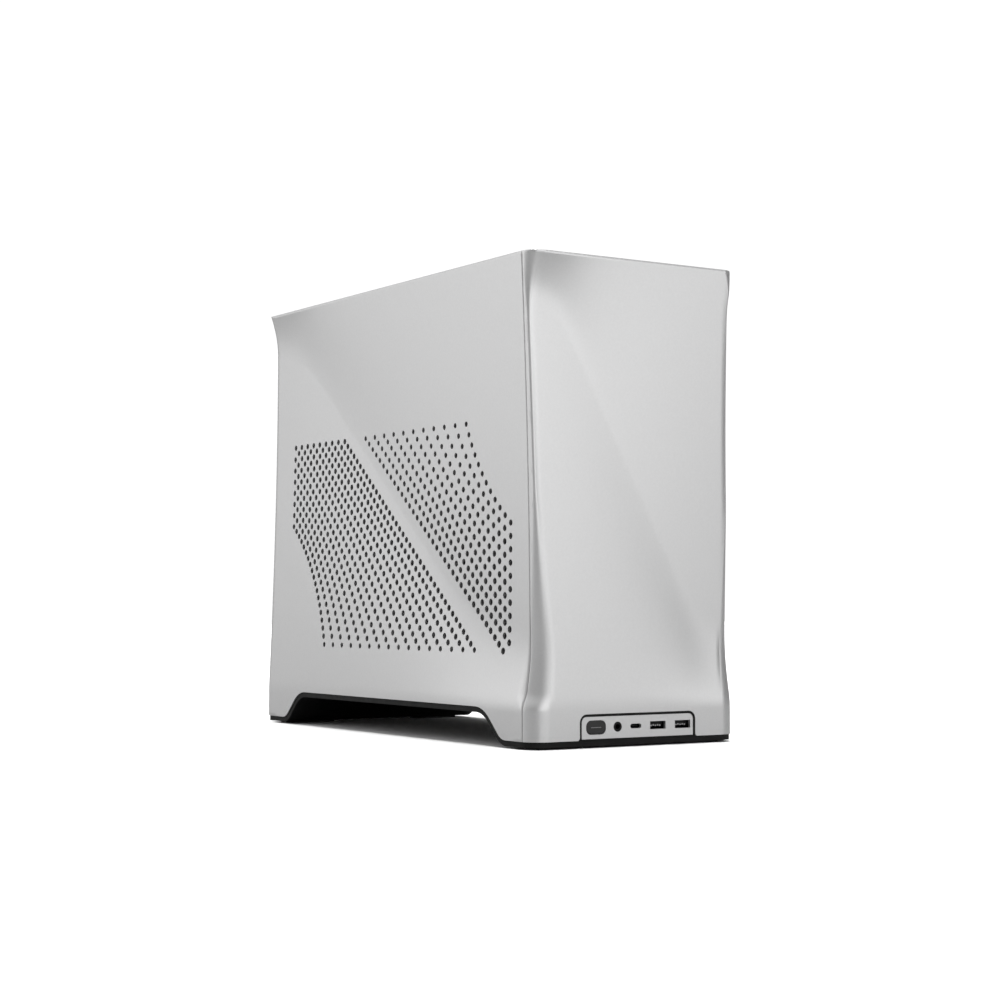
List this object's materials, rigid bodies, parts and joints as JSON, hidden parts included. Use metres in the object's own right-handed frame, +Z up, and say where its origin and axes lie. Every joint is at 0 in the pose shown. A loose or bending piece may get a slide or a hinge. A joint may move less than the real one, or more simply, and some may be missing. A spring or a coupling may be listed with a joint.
{
  "type": "mini pc",
  "caption": "Small desktop tower computer: creased silver aluminium shell with perforated sides on a black arched base, with front ports and a power button.",
  "frame": {"origin": "centre of the footprint, on the surface the rubber feet stand on", "axes": "+Z up, -Y is the front with the ports, +Y the rear, +X the right side as seen from the front"},
  "size_m": [0.165, 0.366, 0.314],
  "materials": {
    "shell": "fine bead-blasted silver anodised aluminium",
    "black_plastic": "matt black moulded plastic",
    "rubber": "black rubber",
    "black_steel": "black powder-coated steel sheet",
    "bright_steel": "plain plated steel",
    "fins": "bare milled aluminium",
    "board": "dark solder-masked circuit board",
    "filter_mesh": "black nylon filter mesh"
  },
  "bodies": {
    "chassis": {"base_trim": "black_plastic", "rubber_feet": "rubber", "floor_plate": "black_steel", "top_frame": "black_steel", "front_bulkhead": "black_steel", "rear_panel": "black_steel", "corner_posts": "black_steel", "ball_sockets": "black_plastic", "spine_plate": "black_steel", "port_bezel": "black_plastic", "port_plate": "shell", "power_switch": "black_plastic", "port_board": "board", "audio_jack": "black_plastic", "usb_c_port": "bright_steel", "usb_a_ports": "bright_steel", "bottom_fan_frames": "black_plastic", "top_fan_frames": "black_plastic", "motherboard": "board", "standoffs": "bright_steel", "processor_socket": "fins", "cooler_heatsink": "fins", "cooler_fan_frame": "black_plastic", "board_slots": "black_plastic", "memory_modules": "board", "solid_state_drive": "board", "rear_ports": "bright_steel", "rear_port_shield": "bright_steel", "graphics_board": "board", "graphics_heatsink": "fins", "graphics_shroud": "black_plastic", "graphics_backplate": "black_steel", "graphics_bracket": "bright_steel", "riser_ribbon": "black_plastic", "power_supply_case": "black_steel", "power_supply_fan_guard": "bright_steel", "power_supply_fan_frame": "black_plastic", "mains_inlets": "black_plastic", "machine_screws": "bright_steel"},
    "left_panel": {"left_side_panel": "shell", "left_panel_studs": "bright_steel"},
    "right_panel": {"right_side_panel": "shell", "right_panel_studs": "bright_steel"},
    "front_cover": {"front_panel": "shell", "front_panel_studs": "bright_steel"},
    "top_cover": {"top_panel": "shell", "top_panel_studs": "bright_steel"},
    "dust_filter": {"dust_filter_frame": "black_plastic", "dust_filter_mesh": "filter_mesh"},
    "button": {"power_button": "black_plastic"},
    "rocker": {"power_rocker": "black_plastic"},
    "bottom_front_fan": {"bottom_front_fan_rotor": "black_plastic"},
    "bottom_rear_fan": {"bottom_rear_fan_rotor": "black_plastic"},
    "top_front_fan": {"top_front_fan_rotor": "black_plastic"},
    "top_rear_fan": {"top_rear_fan_rotor": "black_plastic"},
    "cooler_fan": {"cooler_fan_rotor": "black_plastic"},
    "graphics_front_fan": {"graphics_front_fan_rotor": "black_plastic"},
    "graphics_rear_fan": {"graphics_rear_fan_rotor": "black_plastic"},
    "supply_fan": {"power_supply_fan_rotor": "black_plastic"}
  },
  "joints": [
    {"name": "left_panel_pull", "type": "slide", "parent": "chassis", "child": "left_panel", "axis": [-1, 0, 0], "range_m": [0, 0.06]},
    {"name": "right_panel_pull", "type": "slide", "parent": "chassis", "child": "right_panel", "axis": [1, 0, 0], "range_m": [0, 0.06]},
    {"name": "front_panel_pull", "type": "slide", "parent": "chassis", "child": "front_cover", "axis": [0, -1, 0], "range_m": [0, 0.06]},
    {"name": "top_panel_lift", "type": "slide", "parent": "chassis", "child": "top_cover", "axis": [0, 0, 1], "range_m": [0, 0.06]},
    {"name": "dust_filter_slide", "type": "slide", "parent": "chassis", "child": "dust_filter", "axis": [0, 1, 0], "range_m": [0, 0.31]},
    {"name": "power_button_press", "type": "slide", "parent": "chassis", "child": "button", "axis": [0, 1, 0], "range_m": [0, 0.0008], "stiffness_N_per_m": 800, "springref_m": -0.002},
    {"name": "power_rocker_tilt", "type": "hinge", "parent": "chassis", "child": "rocker", "pos_m": [0.046, -0.111, 0.128], "axis": [1, 0, 0], "range_deg": [-14, 0]},
    {"name": "bottom_front_fan_spin", "type": "hinge", "parent": "chassis", "child": "bottom_front_fan", "pos_m": [0, -0.061, 0.0411], "axis": [0, 0, 1], "continuous": true},
    {"name": "bottom_rear_fan_spin", "type": "hinge", "parent": "chassis", "child": "bottom_rear_fan", "pos_m": [0, 0.061, 0.0411], "axis": [0, 0, 1], "continuous": true},
    {"name": "top_front_fan_spin", "type": "hinge", "parent": "chassis", "child": "top_front_fan", "pos_m": [0, -0.061, 0.2855], "axis": [0, 0, 1], "continuous": true},
    {"name": "top_rear_fan_spin", "type": "hinge", "parent": "chassis", "child": "top_rear_fan", "pos_m": [0, 0.061, 0.2855], "axis": [0, 0, 1], "continuous": true},
    {"name": "cooler_fan_spin", "type": "hinge", "parent": "chassis", "child": "cooler_fan", "pos_m": [0.0597, 0.092, 0.16], "axis": [1, 0, 0], "continuous": true},
    {"name": "graphics_front_fan_spin", "type": "hinge", "parent": "chassis", "child": "graphics_front_fan", "pos_m": [-0.0515, -0.058, 0.16], "axis": [-1, 0, 0], "continuous": true},
    {"name": "graphics_rear_fan_spin", "type": "hinge", "parent": "chassis", "child": "graphics_rear_fan", "pos_m": [-0.0515, 0.054, 0.16], "axis": [-1, 0, 0], "continuous": true},
    {"name": "supply_fan_spin", "type": "hinge", "parent": "chassis", "child": "supply_fan", "pos_m": [0.0619, -0.062, 0.1725], "axis": [1, 0, 0], "continuous": true}
  ]
}
